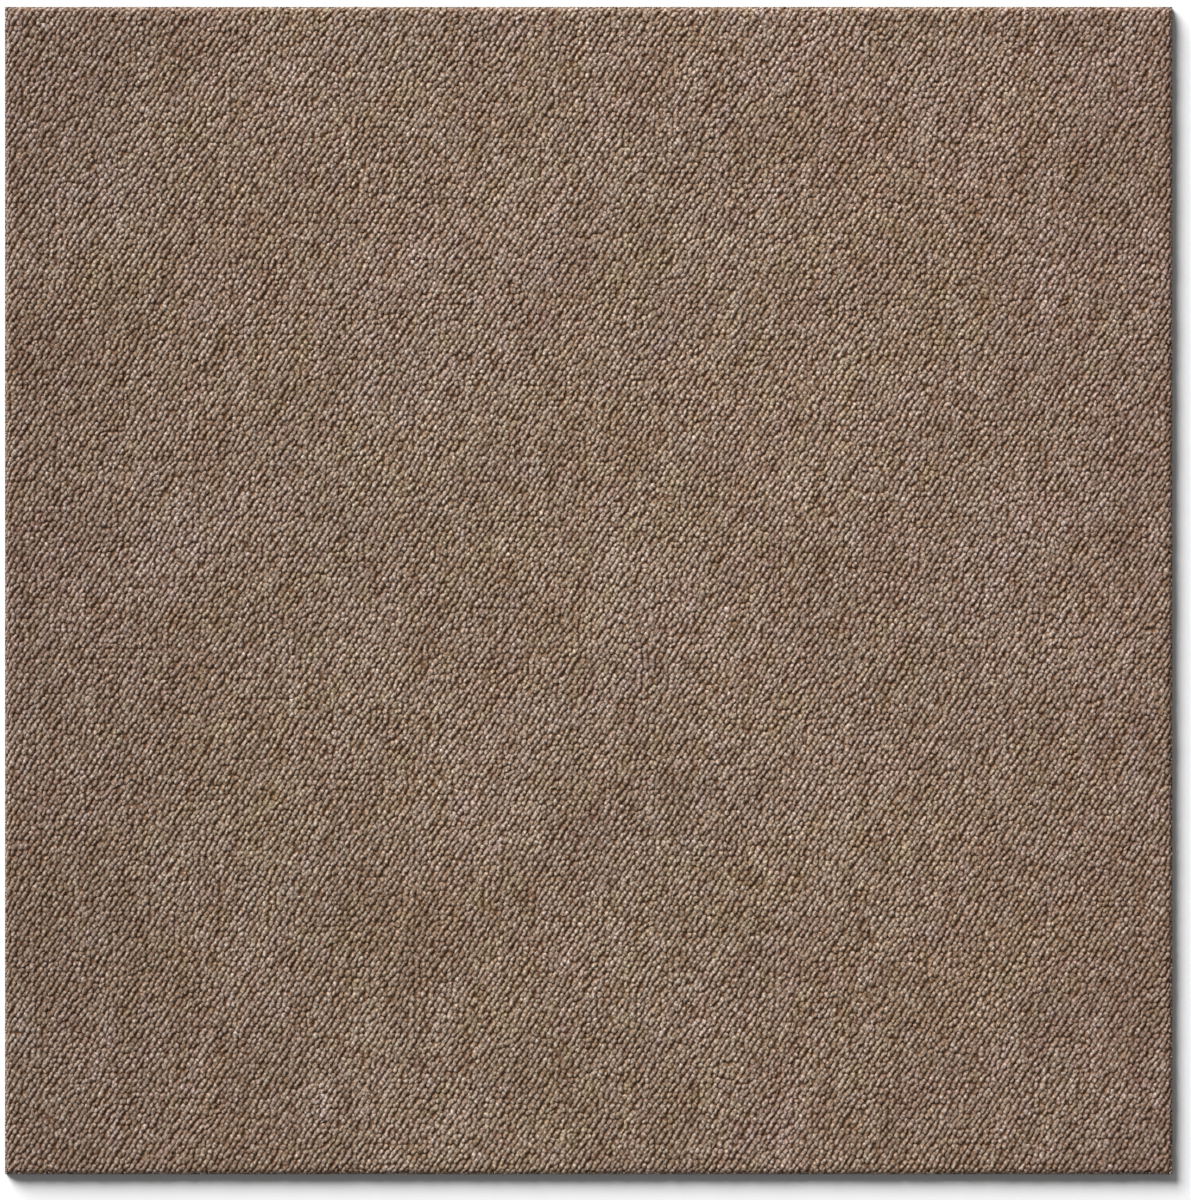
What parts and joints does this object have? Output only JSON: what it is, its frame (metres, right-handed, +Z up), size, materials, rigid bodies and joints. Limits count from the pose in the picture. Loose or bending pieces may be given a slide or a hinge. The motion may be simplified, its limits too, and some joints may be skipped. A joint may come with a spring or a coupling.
{
  "type": "carpet tile",
  "caption": "Square loop pile carpet tile: a level bed of heathered brown yarn loops bonded to a heavy dark backing that lies flat on a floor.",
  "frame": {"origin": "middle of the underside of the backing, on the floor", "axes": "+Z up through the pile, +X across the rows of stitches, +Y along the direction of tufting"},
  "size_m": [0.5, 0.5, 0.006],
  "materials": {
    "loop_yarn": "matte",
    "backing_sheet": "matte"
  },
  "bodies": {
    "root": {"loop_pile": "loop_yarn", "backing": "backing_sheet"}
  },
  "joints": []
}
